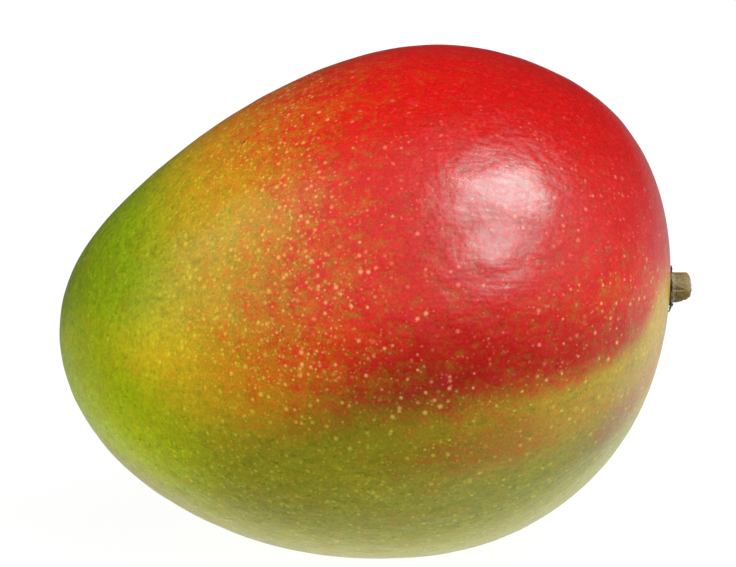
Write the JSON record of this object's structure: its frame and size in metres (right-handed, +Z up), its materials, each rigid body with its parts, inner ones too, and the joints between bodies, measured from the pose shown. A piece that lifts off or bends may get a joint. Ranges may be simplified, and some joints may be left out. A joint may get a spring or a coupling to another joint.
{
  "type": "mango",
  "caption": "Whole ripe mango lying on its side, plump and egg-shaped, with a short stub of stalk and dried sepals at its thick end.",
  "frame": {"origin": "centre of the small flat spot that the fruit rests on", "axes": "+X along the fruit from its apex to its stalk, +Z up from the surface it rests on, +Y to its far side"},
  "size_m": [0.12, 0.1007, 0.0969],
  "materials": {
    "skin": "satin",
    "stalk": "matte",
    "husk": "matte"
  },
  "bodies": {
    "root": {"fruit": "skin", "stem": "stalk", "sepal_1": "husk", "sepal_2": "husk", "sepal_3": "husk", "sepal_4": "husk", "sepal_5": "husk"}
  },
  "joints": []
}
